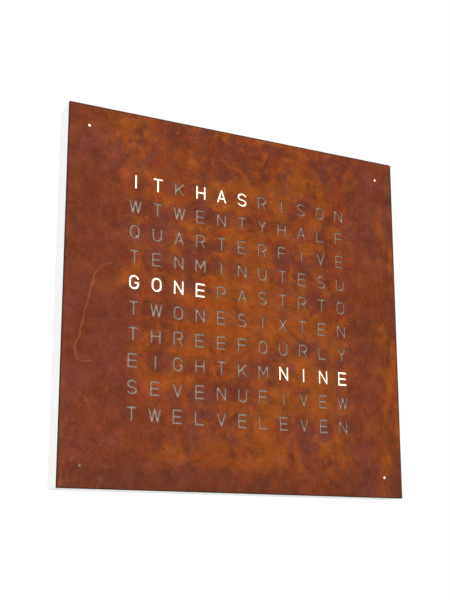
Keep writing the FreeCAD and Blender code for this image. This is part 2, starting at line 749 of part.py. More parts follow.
def make_leads():
    plug_front = CONTROL_FRONT - LEAD_PLUG_T
    plugs = []
    for x, z in lead_plug_spots():
        plugs.append(centred_box(x, z, LEAD_PLUG_W, LEAD_PLUG_W, plug_front, CONTROL_FRONT))
    board_x = IN_HALF - BUTTON_BOARD_T
    end_x = board_x - LEAD_PLUG_T
    plugs.append(box(end_x, board_x, BUTTON_Y - LEAD_PLUG_W / 2, BUTTON_Y + LEAD_PLUG_W / 2,
                     BUTTON_Z - LEAD_PLUG_W / 2, BUTTON_Z + LEAD_PLUG_W / 2))
    save("lead_plugs", Part.makeCompound(plugs))
    lead_y = CONTROL_FRONT - LEAD_PLUG_T / 2
    (left_x, left_z), (right_x, right_z) = lead_plug_spots()
    inlet_top = WELL_TOP + INLET_COLLAR_T + INLET_BODY_L
    across = V(0, LEAD_W, 0)
    start = V(0, lead_y, inlet_top)
    end = V(left_x - LEAD_PLUG_W / 2, lead_y, left_z)
    spine = [start, start + V(0, 0, LEAD_RUN), end - V(LEAD_RUN, 0, 0), end]
    save("inlet_lead", strip(spine, LEAD_T, LEAD_R, across))
    start = V(right_x + LEAD_PLUG_W / 2, lead_y, right_z)
    end = V(end_x, lead_y, BUTTON_Z)
    spine = [start, start + V(LEAD_RUN, 0, 0), end - V(LEAD_RUN, 0, 0), end]
    save("button_lead", strip(spine, LEAD_T, LEAD_R, across))


# Push buttons

def rod_x(radius, x0, x1, z):
    """Round bar across the right board at the buttons' depth."""
    return Part.makeCylinder(radius, x1 - x0, V(x0, BUTTON_Y, z), V(1, 0, 0))


def button_heights():
    middle = (len(BUTTON_NAMES) - 1) / 2
    return [BUTTON_Z + (middle - index) * BUTTON_PITCH for index in range(len(BUTTON_NAMES))]


def button(z):
    """Cap, collar and stem, turned about the push axis; it rests on the switch's plunger."""
    tip = HALF + BUTTON_PROUD
    collar_outer = POCKET_X - COLLAR_GAP
    collar_inner = collar_outer - COLLAR_T
    foot = IN_HALF + SWITCH_T + PLUNGER_OUT
    profile = rounded_face(
        [V(foot, BUTTON_Y, 0), V(tip, BUTTON_Y, 0), V(tip, BUTTON_Y, BUTTON_R - BUTTON_EDGE),
         V(tip - BUTTON_EDGE, BUTTON_Y, BUTTON_R), V(collar_outer, BUTTON_Y, BUTTON_R),
         V(collar_outer, BUTTON_Y, COLLAR_R), V(collar_inner, BUTTON_Y, COLLAR_R),
         V(collar_inner, BUTTON_Y, STEM_R), V(foot, BUTTON_Y, STEM_R)],
        [0] * 9)
    body = profile.revolve(V(0, BUTTON_Y, 0), V(1, 0, 0), 360)
    body.translate(V(0, 0, z))
    return body


def make_buttons():
    board_x = IN_HALF - BUTTON_BOARD_T
    board = box(board_x, IN_HALF, BUTTON_Y - BUTTON_BOARD_W / 2, BUTTON_Y + BUTTON_BOARD_W / 2,
                BUTTON_Z - BUTTON_BOARD_HALF, BUTTON_Z + BUTTON_BOARD_HALF)
    save("button_board", board)
    switches = []
    switch_top = IN_HALF + SWITCH_T
    for name, z in zip(BUTTON_NAMES, button_heights()):
        body = box(IN_HALF, switch_top, BUTTON_Y - SWITCH_W / 2, BUTTON_Y + SWITCH_W / 2,
                   z - SWITCH_W / 2, z + SWITCH_W / 2)
        hole = rod_x(PLUNGER_R + PLUNGER_GAP, switch_top - SWITCH_WELL, switch_top, z)
        switches.append(body.cut(hole))
        inner_end = switch_top - SWITCH_WELL + BUTTON_TRAVEL + PLUNGER_GAP
        save("plunger_" + name, rod_x(PLUNGER_R, inner_end, switch_top + PLUNGER_OUT, z))
        save("button_" + name, button(z))
    save("switch_bodies", Part.makeCompound(switches))


def main():
    os.makedirs("parts", exist_ok=True)
    make_cover()
    make_frame()
    make_blocks()
    make_grid()
    make_led_board()
    make_back_cover()
    make_hangers()
    make_well()
    make_inlet()
    make_control_board()
    make_ribbon()
    make_leads()
    make_buttons()


main()
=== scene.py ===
# %% [markdown]
# A word clock of rusted steel
#
# This lesson dresses a wall clock that tells the time in words. The real one
# is a square steel plate, left to rust, with letters cut through it. A white
# sheet behind the plate glows where lamps light it, so words appear. The plate
# is held by magnets on a shallow white frame.
# The frame and the works are already modelled, so the steps here are the
# camera and light, the cut letters, the glowing sheet and the finishes.

# %% Load the works
import json
import math

import bpy
import numpy as np
from mathutils import Matrix, Vector
from mathutils.geometry import delaunay_2d_cdt


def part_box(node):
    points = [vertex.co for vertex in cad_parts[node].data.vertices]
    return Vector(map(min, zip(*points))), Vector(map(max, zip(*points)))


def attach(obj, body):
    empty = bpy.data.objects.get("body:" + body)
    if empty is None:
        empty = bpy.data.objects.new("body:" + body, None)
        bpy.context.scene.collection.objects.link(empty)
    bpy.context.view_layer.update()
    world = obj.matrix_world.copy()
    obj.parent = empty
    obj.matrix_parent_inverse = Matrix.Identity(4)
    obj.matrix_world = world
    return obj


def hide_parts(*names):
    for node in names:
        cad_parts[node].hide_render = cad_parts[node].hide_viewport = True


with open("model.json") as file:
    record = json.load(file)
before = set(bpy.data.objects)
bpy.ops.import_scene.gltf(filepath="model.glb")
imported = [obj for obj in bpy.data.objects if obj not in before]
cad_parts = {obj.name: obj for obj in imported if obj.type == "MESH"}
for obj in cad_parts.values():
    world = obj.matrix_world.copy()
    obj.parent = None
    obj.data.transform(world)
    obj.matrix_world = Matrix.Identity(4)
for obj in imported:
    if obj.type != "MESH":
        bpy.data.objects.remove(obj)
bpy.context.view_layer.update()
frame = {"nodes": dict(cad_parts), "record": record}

# %% [markdown]
# Sizes
#
# Every size is in metres, and is read from the works where they have it. The
# front lies at the lowest Y, the wall at Y = 0, and Z is up.

# %% Sizes of the plate and the letter field
MM = 0.001


def box_of(node):
    """Lowest and highest corner of a node of the works, as arrays."""
    return [np.array(corner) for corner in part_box(node)]


cover_low, cover_high = box_of("front_cover")
sheet_low, sheet_high = box_of("letter_diffuser")
HALF = cover_high[0]
COVER_FRONT = cover_low[1]
COVER_REAR = cover_high[1]
ROWS = 10
COLUMNS = 11
FIELD = 309 * MM
DOT_INSET = 25.5 * MM
DOT_AT = HALF - DOT_INSET
DOT_R = 1.8 * MM
CORNER_R = 1 * MM
PITCH = np.array([FIELD / COLUMNS, FIELD / ROWS])
print("plate", round(2 * HALF / MM, 1), "mm wide,", round((COVER_REAR - COVER_FRONT) / MM, 2), "mm thick")

# %% [markdown]
# The camera
#
# The picture was taken from a little below and to the left of the clock. The
# four corners of a square seen in perspective fix the camera fully: its place,
# its three axes and its lens. A small vertical shift keeps the clock's upright
# edges where they are, because the picture is a crop of a larger one.

# %% Place the camera
CAMERA_PLACE = Vector((-0.50924, COVER_FRONT - 1.02853, -0.29896))
CAMERA_RIGHT = Vector((0.90436, -0.42677, 0.0))
CAMERA_UP = Vector((-0.08617, -0.18259, 0.97941))
CAMERA_BACK = CAMERA_RIGHT.cross(CAMERA_UP)

lens = bpy.data.cameras.new("view")
lens.lens = 58.26
lens.sensor_width = 36.0
lens.shift_y = 0.0965
lens.clip_start = 0.01
camera = bpy.data.objects.new("view", lens)
turn = Matrix((CAMERA_RIGHT, CAMERA_UP, CAMERA_BACK)).transposed()
camera.matrix_world = Matrix.Translation(CAMERA_PLACE) @ turn.to_4x4()
bpy.context.scene.collection.objects.link(camera)
bpy.context.scene.camera = camera
distance = (CAMERA_PLACE - Vector((0, COVER_FRONT, 0))).length
print("camera stands", round(distance, 3), "m from the plate's middle")

# %% [markdown]
# Colours
#
# Colours are written as a screen shows them, from 0 to 255, and turned into
# the linear values that the light works with.

# %% Colour helper
def screen(red, green, blue):
    """Linear colour with alpha: above a small toe, ((value + 0.055) / 1.055) to the power 2.4."""
    value = np.array([red, green, blue]) / 255
    linear = np.where(value > 0.04045, ((value + 0.055) / 1.055) ** 2.4, value / 12.92)
    return (*[float(channel) for channel in linear], 1.0)


print("half grey on a screen is", round(screen(128, 128, 128)[0], 3), "of white's light")

# %% [markdown]
# Shader helpers
#
# A material is a small net of nodes. A few short helpers keep the cells below
# readable. They start a material, add a node with its values, do arithmetic,
# mix colours, make cloudy noise, and turn a height into a bump.

# %% Node helpers
def start_material(name):
    """A new material, with its node tree and its shader."""
    material = bpy.data.materials.new(name)
    material.use_nodes = True
    return material, material.node_tree, material.node_tree.nodes["Principled BSDF"]


def add(tree, kind, inputs=None, **settings):
    """Adds a node; inputs are values or sockets to join to its named sockets."""
    node = tree.nodes.new(kind)
    for name, value in settings.items():
        setattr(node, name, value)
    for name, value in (inputs or {}).items():
        if isinstance(value, bpy.types.NodeSocket):
            tree.links.new(value, node.inputs[name])
        else:
            node.inputs[name].default_value = value
    return node


def calc(tree, operation, *values, clamp=False):
    """One arithmetic node; returns its result."""
    inputs = dict(enumerate(values))
    return add(tree, "ShaderNodeMath", inputs, operation=operation, use_clamp=clamp).outputs[0]


def ramp(tree, value, low, high, to_low=0.0, to_high=1.0):
    """A smooth step of the value from low to high."""
    inputs = {"Value": value, "From Min": low, "From Max": high, "To Min": to_low, "To Max": to_high}
    node = add(tree, "ShaderNodeMapRange", inputs, interpolation_type="SMOOTHSTEP")
    return node.outputs["Result"]


def blend(tree, amount, under, over, kind="MIX"):
    """The over colour laid on the under colour by the amount."""
    node = add(tree, "ShaderNodeMix", data_type="RGBA", blend_type=kind)
    for socket, value in ((node.inputs[0], amount), (node.inputs[6], under), (node.inputs[7], over)):
        if isinstance(value, bpy.types.NodeSocket):
            tree.links.new(value, socket)
        else:
            socket.default_value = value
    return node.outputs[2]


# %% Helpers for noise, places and bumps
def cloud(tree, vector, scale, detail=4.0, rough=0.55, twist=0.0):
    """Cloudy noise from 0 to 1 at a scale in patches to the metre."""
    inputs = {"Vector": vector, "Scale": scale, "Detail": detail, "Roughness": rough, "Distortion": twist}
    return add(tree, "ShaderNodeTexNoise", inputs).outputs["Fac"]


def place_on(tree):
    """The point on the piece, in metres, as a vector."""
    return add(tree, "ShaderNodeTexCoord").outputs["Object"]


def stretched(tree, vector, scale, offset=(0, 0, 0), turn=(0, 0, 0)):
    """The point scaled along each axis, turned and moved, so that noise on it is drawn out."""
    inputs = {"Vector": vector, "Scale": scale, "Location": offset, "Rotation": turn}
    return add(tree, "ShaderNodeMapping", inputs).outputs["Vector"]


def grey(tree, value):
    """The value as a grey colour: the same number in all three channels."""
    return add(tree, "ShaderNodeCombineXYZ", {"X": value, "Y": value, "Z": value}).outputs[0]


def apart(tree, point):
    """The point's distances along X and Z."""
    node = add(tree, "ShaderNodeSeparateXYZ", {"Vector": point})
    return node.outputs["X"], node.outputs["Z"]


def raise_bump(tree, shader, height, strength, distance):
    """Tilts the shader's normal by the slope of the height; a height of 1 stands for the distance."""
    inputs = {"Height": height, "Strength": strength, "Distance": distance}
    tree.links.new(add(tree, "ShaderNodeBump", inputs).outputs["Normal"], shader.inputs["Normal"])


# %% [markdown]
# A group for handled surfaces
#
# Lacquer, moulded plastic and plated metal all share two faint things: a soft
# unevenness of gloss and a fine grain. One node group gives both, and each
# material sets its own scale and strength.

# %% Group: handled surface
def new_group(name, inputs, outputs):
    """An empty node group with named float, colour or vector sockets."""
    group = bpy.data.node_groups.new(name, "ShaderNodeTree")
    for socket, kind, value in inputs:
        item = group.interface.new_socket(name=socket, in_out="INPUT", socket_type=kind)
        if value is not None:
            item.default_value = value
    for socket, kind in outputs:
        group.interface.new_socket(name=socket, in_out="OUTPUT", socket_type=kind)
    enter = group.nodes.new("NodeGroupInput")
    leave = group.nodes.new("NodeGroupOutput")
    return group, enter.outputs, leave.inputs


def make_handled_surface():
    """Soft smudges for roughness and colour, and a fine grain for the bump."""
    number = "NodeSocketFloat"
    group, given, result = new_group(
        "handled_surface",
        [("Point", "NodeSocketVector", None), ("Smudge Scale", number, 12.0), ("Grain Scale", number, 900.0),
         ("Roughness", number, 0.4), ("Spread", number, 0.1), ("Color", "NodeSocketColor", None),
         ("Tint", number, 0.04)],
        [("Color", "NodeSocketColor"), ("Roughness", number), ("Height", number)])
    smudge = cloud(group, given["Point"], given["Smudge Scale"], detail=5.0)
    grain = cloud(group, given["Point"], given["Grain Scale"], detail=2.0)
    centred = calc(group, "SUBTRACT", smudge, 0.5)
    rough = calc(group, "MULTIPLY_ADD", centred, given["Spread"], given["Roughness"], clamp=True)
    shade = calc(group, "MULTIPLY_ADD", centred, given["Tint"], 1.0)
    shaded = blend(group, 1.0, given["Color"], grey(group, shade), kind="MULTIPLY")
    group.links.new(shaded, result["Color"])
    group.links.new(rough, result["Roughness"])
    group.links.new(grain, result["Height"])
    return group


HANDLED = make_handled_surface()
GRAIN_HEIGHT = 0.3 * MM


def finish(name, color, roughness, metallic=0.0, spread=0.1, tint=0.1, smudge=12.0, grain=900.0, bump=0.05,
           coat=0.0):
    """A material from the handled-surface group: plastic, lacquer, board or metal."""
    material, tree, shader = start_material(name)
    node = add(tree, "ShaderNodeGroup", node_tree=HANDLED)
    values = {"Smudge Scale": smudge, "Grain Scale": grain, "Roughness": roughness, "Spread": spread,
              "Color": color, "Tint": tint}
    for socket, value in values.items():
        node.inputs[socket].default_value = value
    tree.links.new(place_on(tree), node.inputs["Point"])
    tree.links.new(node.outputs["Color"], shader.inputs["Base Color"])
    tree.links.new(node.outputs["Roughness"], shader.inputs["Roughness"])
    raise_bump(tree, shader, node.outputs["Height"], bump, GRAIN_HEIGHT)
    shader.inputs["Metallic"].default_value = metallic
    shader.inputs["Coat Weight"].default_value = coat
    return material


print("handled surface has", len(HANDLED.nodes), "nodes")

# %% [markdown]
# Rust
#
# The plate has no paint. Its rust is a thin brown skin, evenest at the left,
# with orange blooms towards the middle and the right, purplish patches where
# the skin is older, and a bright run of orange down the right edge. The
# material lays these over each other, from the widest patch to the finest
# grain, each with its own noise, and the point on the plate says where. A
# picture of rust would be quicker, but it would tie the plate to one size.

# %% Rust colours
RUST_BROWN = screen(115, 57, 35)
RUST_PLUM = screen(122, 63, 47)
RUST_RED = screen(146, 66, 32)
RUST_BAND = screen(154, 69, 27)
RUST_ORANGE = screen(160, 81, 28)
RUST_DEEP = screen(104, 54, 34)
RUST_PALE = screen(168, 100, 66)
DARK_RIM_COLOR = screen(58, 40, 30)
CUT_STEEL = screen(140, 114, 95)
print("orange gives", round(RUST_ORANGE[0] / RUST_BROWN[0], 1), "times the red light of brown")


# %% Helpers that say where a finish lies
def bloom(tree, point, scale, low, high, twist=1.0, offset=0.0, drawn=(1, 1, 1), lift=0.0):
    """A patchy mask: cloudy noise cut between two levels; lift makes more of it pass."""
    moved = stretched(tree, point, drawn, (offset, 0, offset))
    noise = cloud(tree, moved, scale, detail=9.0, rough=0.66, twist=twist)
    return ramp(tree, calc(tree, "ADD", noise, lift), low, high)


def near(tree, value, middle, reach):
    """1 where the value is at the middle, falling to 0 at the reach on either side."""
    away = calc(tree, "ABSOLUTE", calc(tree, "SUBTRACT", value, middle))
    return ramp(tree, away, reach, 0.0)


def product(tree, *values):
    """All the masks multiplied."""
    result = values[0]
    for value in values[1:]:
        result = calc(tree, "MULTIPLY", result, value)
    return result


def lay(tree, color, over, *masks):
    """The over colour laid on the colour, as strongly as the masks multiplied."""
    return blend(tree, product(tree, *masks), color, over)


def swing(tree, point, scale, reach):
    """Noise about zero, up to the reach, to put a waver in a line."""
    return calc(tree, "MULTIPLY", calc(tree, "SUBTRACT", cloud(tree, point, scale), 0.5), 2 * reach)


# %% [markdown]
# Blooms
#
# Orange rust is young and loose, brown rust is old and tight. Where water stood
# the young rust blooms over the old in patches. Each patch is noise cut between
# two levels, with its own scale and its own offset, so that no two agree. The
# left side, the right edge and the foot of the plate stay calm.

# %% Blooms over the brown skin
PATCHES = {
    "plum": dict(scale=11.0, low=0.44, high=0.60, offset=3.0),
    "red": dict(scale=16.0, low=0.44, high=0.58, offset=7.0),
    "wide orange": dict(scale=9.0, low=0.47, high=0.60, offset=5.0, twist=1.6),
    "small orange": dict(scale=34.0, low=0.50, high=0.62, offset=1.0),
    "older plum": dict(scale=28.0, low=0.52, high=0.64, offset=8.0),
}
CALM_LEFT = (-0.17, -0.105)
CALM_LEAN = 0.16
CALM_RIGHT = (0.17, 0.12)
CALM_FOOT = (-0.22, -0.17)
WARM_X, WARM_X_REACH, WARM_Z_REACH = 0.045, 0.15, 0.19


def liveliness(tree, point, x, z):
    """1 where the skin blooms: the steps in from the left, the right and the foot, multiplied."""
    leaning = calc(tree, "MULTIPLY_ADD", z, CALM_LEAN, x)
    left = ramp(tree, calc(tree, "ADD", leaning, swing(tree, point, 14.0, 0.05)), *CALM_LEFT)
    right = ramp(tree, calc(tree, "ADD", x, swing(tree, point, 16.0, 0.05)), *CALM_RIGHT, 0.35, 1.0)
    foot = ramp(tree, z, *CALM_FOOT, 0.4, 1.0)
    return product(tree, ramp(tree, left, 0.0, 1.0, 0.12, 1.0), right, foot)


def rust_blooms(tree, point, x, z):
    """Brown, then plum, red, orange and plum again; also gives the small orange mask."""
    def patch(name, lift=0.0):
        return bloom(tree, point, lift=lift, **PATCHES[name])

    lively = liveliness(tree, point, x, z)
    warm = product(tree, near(tree, x, WARM_X, WARM_X_REACH), near(tree, z, 0.0, WARM_Z_REACH))
    lift = calc(tree, "MULTIPLY_ADD", warm, 0.10, -0.015)
    small = product(tree, patch("small orange"), lively)

    color = lay(tree, RUST_BROWN, RUST_PLUM, patch("plum"))
    color = lay(tree, color, RUST_RED, patch("red"), ramp(tree, lively, 0.0, 1.0, 0.25, 1.0), 0.8)
    color = lay(tree, color, RUST_ORANGE, patch("wide orange", lift), lively, 0.75)
    color = lay(tree, color, RUST_ORANGE, small, 0.7)
    return lay(tree, color, RUST_PLUM, patch("older plum"), 0.7), small


print("kinds of patch:", ", ".join(PATCHES))

# %% [markdown]
# Bands between the rows
#
# Water ran out of the cut letters and dried, so level orange bands lie between
# the rows at the upper left. A cosine of the height, one wave to a row, makes
# them, and noise drawn out sideways breaks them up.

# %% Level bands
BAND_X, BAND_X_REACH = -0.05, 0.13
BAND_FADE = (-0.16, 0.02)
BAND_TOP = (0.17, 0.13)
BAND_BREAKS = dict(scale=20.0, low=0.37, high=0.52, offset=4.0, drawn=(0.4, 1, 1))
ROW_PATCHES = dict(scale=34.0, low=0.44, high=0.54, offset=9.0)


def rust_bands(tree, point, x, z, color, small):
    """Orange where cos(2 pi z / row pitch) is high, plum patches where it is low."""
    wavering = calc(tree, "ADD", z, swing(tree, point, 30.0, 0.006))
    wave = calc(tree, "COSINE", calc(tree, "MULTIPLY", wavering, 2 * math.pi / PITCH[1]))
    field = product(tree, near(tree, x, BAND_X, BAND_X_REACH), ramp(tree, z, *BAND_FADE, 0.25, 1.0),
                    ramp(tree, z, *BAND_TOP))
    between = product(tree, ramp(tree, wave, 0.25, 0.95), field)
    rows = product(tree, ramp(tree, wave, -0.1, -0.8), field)
    color = lay(tree, color, RUST_BAND, between, bloom(tree, point, **BAND_BREAKS), 0.95)
    color = lay(tree, color, RUST_ORANGE, between, small, 0.9)
    return lay(tree, color, RUST_PLUM, rows, bloom(tree, point, **ROW_PATCHES), 0.6)


print("one band to each", round(PITCH[1] / MM, 1), "mm")

# %% [markdown]
# Runs and washes
#
# A plate is wetted again and again to make it rust. Water ran down this one's
# right edge and gathered at the foot. The run is a strip with a wavering middle
# line, the wash a wide soft patch, and the last strip above the foot is darker.

# %% Run at the right edge, wash and dark foot
RUN_X, RUN_REACH = 0.208, 0.022
RUN_TOP = (0.19, 0.15)
RUN_BREAKS = dict(scale=26.0, low=0.42, high=0.58, drawn=(1, 1, 0.3))
WASH_X, WASH_X_REACH = 0.04, 0.16
WASH_Z, WASH_Z_REACH = -0.176, 0.03
WASH_BREAKS = dict(scale=22.0, low=0.44, high=0.58, offset=6.0)
DARK_FOOT = (-0.185, -0.215)
FOOT_BREAKS = dict(scale=12.0, low=0.36, high=0.56, offset=2.0)


def rust_runs(tree, point, x, z, color):
    """Orange near the run's middle line and the wash's middle, then the deep brown foot."""
    edge = calc(tree, "ADD", x, swing(tree, point, 13.0, 0.034))
    color = lay(tree, color, RUST_ORANGE, near(tree, edge, RUN_X, RUN_REACH), ramp(tree, z, *RUN_TOP),
                bloom(tree, point, **RUN_BREAKS), 0.95)
    color = lay(tree, color, RUST_ORANGE, near(tree, z, WASH_Z, WASH_Z_REACH),
                near(tree, x, WASH_X, WASH_X_REACH), bloom(tree, point, **WASH_BREAKS), 0.8)
    return lay(tree, color, RUST_DEEP, ramp(tree, z, *DARK_FOOT), bloom(tree, point, **FOOT_BREAKS), 0.75)


print("the run lies", round((HALF - RUN_X) / MM, 1), "mm in from the edge")

# %% [markdown]
# Marks on the rust
#
# A puddle that dried at the left has a pale outline, open at the right. It is
# a short route of straight runs, and the material measures how far each point
# is from it. Faint scuffs, a few slanting scratches and a dark rim along the
# plate's edge finish the surface.

# %% Tide line
TIDE_LINE = [(-165, 37), (-180, 31), (-188, 18), (-193, -2), (-198, -22), (-204, -48), (-209, -66),
             (-208, -78), (-202, -84), (-190, -82)]
TIDE_W = 1.7 * MM


def reckon(tree, operation, first, second, output="Vector"):
    """One node of vector arithmetic on two vectors; SCALE takes a number as its second."""
    second_name = "Scale" if operation == "SCALE" else 1
    node = add(tree, "ShaderNodeVectorMath", {0: first, second_name: second}, operation=operation)
    return node.outputs[output]


def along_route(tree, point, route, width):
    """1 on the route and 0 a width away from it.

    On each straight run the nearest spot is start + share * run, where the
    share is (point - start) . run / run . run, kept between 0 and 1.
    """
    nearest = None
    for (x0, z0), (x1, z1) in zip(route, route[1:]):
        start, run = Vector((x0, 0, z0)) * MM, Vector((x1 - x0, 0, z1 - z0)) * MM
        away = reckon(tree, "SUBTRACT", point, start)
        share = reckon(tree, "DOT_PRODUCT", away, run / run.length_squared, "Value")
        share = calc(tree, "ADD", share, 0.0, clamp=True)
        spot = reckon(tree, "SCALE", run, share)
        gap = reckon(tree, "DISTANCE", away, spot, "Value")
        nearest = gap if nearest is None else calc(tree, "MINIMUM", nearest, gap)
    return ramp(tree, nearest, width, 0.0)


print("tide line", round(sum(math.dist(*pair) for pair in zip(TIDE_LINE, TIDE_LINE[1:]))), "mm long")

# %% Scuffs, scratches and rim
SCUFF_X = (-0.14, -0.19)
SCUFF_Z = (-0.08, -0.12)
SCUFFS = dict(scale=60.0, low=0.54, high=0.66, offset=3.0)
SCRATCH_X, SCRATCH_X_REACH = -0.10, 0.035
SCRATCH_Z, SCRATCH_Z_REACH = 0.166, 0.02
SCRATCH_TURN = math.radians(38)
RIM_OUTER, RIM_INNER = 0.5 * MM, 1.9 * MM


def rust_marks(tree, point, x, z, color):
    """The pale tide line, scuffs and short scratches, and the dark rim of the plate."""
    wavering_x = calc(tree, "ADD", x, swing(tree, point, 60.0, 0.004))
    flat = add(tree, "ShaderNodeCombineXYZ", {"X": wavering_x, "Z": z}).outputs[0]
    faint = ramp(tree, cloud(tree, point, 50.0), 0.38, 0.58, 0.3, 1.0)
    color = lay(tree, color, RUST_PALE, along_route(tree, flat, TIDE_LINE, TIDE_W), faint, 0.5)
    color = lay(tree, color, RUST_PALE, ramp(tree, x, *SCUFF_X), ramp(tree, z, *SCUFF_Z),
                bloom(tree, point, **SCUFFS), 0.3)

    slanted = stretched(tree, point, (0.5, 1, 7), turn=(0, SCRATCH_TURN, 0))
    scratch = ramp(tree, cloud(tree, slanted, 60.0, detail=2.0), 0.66, 0.74)
    color = lay(tree, color, RUST_PALE, scratch, near(tree, x, SCRATCH_X, SCRATCH_X_REACH),
                near(tree, z, SCRATCH_Z, SCRATCH_Z_REACH), 0.8)

    # Darker towards the plate's edge: a dark rim from 1.9 mm in to 0.5 mm in.
    from_middle = calc(tree, "MAXIMUM", calc(tree, "ABSOLUTE", x), calc(tree, "ABSOLUTE", z))
    rim = ramp(tree, from_middle, HALF - RIM_INNER, HALF - RIM_OUTER)
    return lay(tree, color, DARK_RIM_COLOR, rim, 0.9)


print("the rim is darkest", round(RIM_OUTER / MM, 1), "mm in from the edge")

# %% [markdown]
# The rust material
#
# The colour is now built up in the order it grew. A mottle and a fine grain
# make it lighter and darker and also raise the bump, so light and shape agree.
# The walls of the cut letters carry a number, cut, and show bare steel.

# %% Rust material
RUST_HEIGHT = 0.7 * MM


def make_rust():
    """Blooms, bands, runs, a mottle and marks; the cut attribute shows bare steel in the letters."""
    material, tree, shader = start_material("rusted_steel")
    point = place_on(tree)
    x, z = apart(tree, point)
    color, small = rust_blooms(tree, point, x, z)
    color = rust_bands(tree, point, x, z, color, small)
    color = rust_runs(tree, point, x, z, color)

    mottle = cloud(tree, point, 55.0, detail=9.0, rough=0.72, twist=0.4)
    grain = cloud(tree, point, 420.0, detail=4.0, rough=0.7)
    shade = calc(tree, "MULTIPLY_ADD", calc(tree, "SUBTRACT", mottle, 0.5), 1.5, 0.92)
    shade = calc(tree, "MULTIPLY_ADD", calc(tree, "SUBTRACT", grain, 0.5), 0.9, shade)
    color = blend(tree, 1.0, color, grey(tree, shade), kind="MULTIPLY")
    color = rust_marks(tree, point, x, z, color)

    cut = add(tree, "ShaderNodeAttribute", attribute_name="cut").outputs["Fac"]
    tree.links.new(blend(tree, cut, color, CUT_STEEL), shader.inputs["Base Color"])
    rough = calc(tree, "MULTIPLY_ADD", mottle, 0.3, 0.65)
    rough = calc(tree, "MULTIPLY_ADD", cut, -0.45, rough)
    tree.links.new(rough, shader.inputs["Roughness"])
    tree.links.new(calc(tree, "MULTIPLY", cut, 0.8), shader.inputs["Metallic"])
    shader.inputs["Specular IOR Level"].default_value = 0.06
    height = calc(tree, "MULTIPLY_ADD", grain, 0.35, mottle)
    raise_bump(tree, shader, height, 0.35, RUST_HEIGHT)
    return material


RUST = make_rust()
print("rust has", len(RUST.node_tree.nodes), "nodes")

# %% [markdown]
# Letters as strokes
#
# The letters are thin and even, like signs on a road or a drawing office. Each
# is a few strokes on a box that is one high: straight runs and round bows. A
# closed shape such as O would drop out of a cut plate, so it keeps small
# bridges. A stroke is a path, and its band is the path carried half a width to
# each side.

# %% Paths of the strokes
NARROW = 0.69
WIDE = 0.92
BOW = NARROW / 2


def line(*points):
    """Straight runs through the points."""
    return np.array(points, dtype=float)


def bow(middle, radii, start, stop, steps=14):
    """Part of an ellipse: middle + radii * (cos, sin) of an angle that runs from start to stop."""
    angle = np.radians(np.linspace(start, stop, steps))
    return np.array(middle) + np.array(radii) * np.stack([np.cos(angle), np.sin(angle)], axis=1)


def joined(*parts):
    """Several runs and bows as one path."""
    return np.concatenate(parts)


print("a bow has", len(bow((0, 0), (1, 1), 0, 90)), "points")

# %% Letters from the paths
TOP_BOW = (BOW, 1 - BOW)
LOW_BOW = (BOW, BOW)
ROUND = (BOW, BOW)
HEAD_R = 0.27
HEAD = joined(line((0, 0), (0, 1), (NARROW - HEAD_R, 1)),
              bow((NARROW - HEAD_R, 1 - HEAD_R), (HEAD_R, HEAD_R), 80, -90), line((0.2, 1 - 2 * HEAD_R)))
RING = [joined(bow(TOP_BOW, ROUND, 98, 180), bow(LOW_BOW, ROUND, 180, 262)),
        joined(bow(TOP_BOW, ROUND, 82, 0), bow(LOW_BOW, ROUND, 0, -82))]
GLYPHS = {
    "A": [line((0, 0), (BOW, 1)), line((NARROW, 0), (BOW, 1)), line((0.27, 0.3), (0.57, 0.3))],
    "E": [line((NARROW, 1), (0, 1), (0, 0), (NARROW, 0)), line((0, 0.5), (0.64, 0.5))],
    "F": [line((NARROW, 1), (0, 1), (0, 0)), line((0, 0.5), (0.62, 0.5))],
    "G": [joined(bow(TOP_BOW, ROUND, 20, 180), bow(LOW_BOW, ROUND, 180, 360),
                 line((NARROW, 0.46), (0.42, 0.46)))],
    "H": [line((0, 0), (0, 1)), line((NARROW, 0), (NARROW, 1)), line((0, 0.5), (NARROW, 0.5))],
    "I": [line((BOW, 0), (BOW, 1))],
    "K": [line((0, 0), (0, 1)), line((NARROW, 1), (0.02, 0.32)), line((0.27, 0.55), (NARROW, 0))],
    "L": [line((0, 1), (0, 0), (NARROW, 0))],
    "M": [line((0, 0), (0, 1)), line((0, 1), (0.39, 0.3)), line((0.39, 0.3), (0.78, 1)),
          line((0.78, 1), (0.78, 0))],
    "N": [line((0, 0), (0, 1)), line((0, 1), (NARROW, 0)), line((NARROW, 0), (NARROW, 1))],
    "O": RING,
    "P": [HEAD],
    "Q": RING + [line((0.44, 0.26), (NARROW + 0.05, -0.05))],
    "R": [HEAD, line((0.40, 1 - 2 * HEAD_R), (NARROW, 0))],
    "S": [joined(bow((BOW, 0.745), (BOW, 0.255), 22, 270), bow((BOW, 0.245), (BOW, 0.245), 90, -158)[1:])],
    "T": [line((0, 1), (NARROW, 1)), line((BOW, 1), (BOW, 0))],
    "U": [joined(line((0, 1)), bow(LOW_BOW, ROUND, 180, 360), line((NARROW, 1)))],
    "V": [line((0, 1), (BOW, 0)), line((BOW, 0), (NARROW, 1))],
    "W": [line((0, 1), (WIDE / 4, 0)), line((WIDE / 4, 0), (WIDE / 2, 1)),
          line((WIDE / 2, 1), (WIDE * 0.75, 0)), line((WIDE * 0.75, 0), (WIDE, 1))],
    "X": [line((0, 0), (NARROW, 1)), line((0, 1), (NARROW, 0))],
    "Y": [line((0, 1), (BOW, 0.5)), line((BOW, 0.5), (NARROW, 1)), line((BOW, 0.5), (BOW, 0))],
}
print("letters drawn", "".join(sorted(GLYPHS)))

# %% [markdown]
# The words
#
# The field is eleven letters wide and ten high, with plain time words set close
# and a few spare letters to fill the rows. Two pairs of words share letters.
# What is lit reads IT HAS GONE NINE, and three lit dots in the corners add three
# minutes.

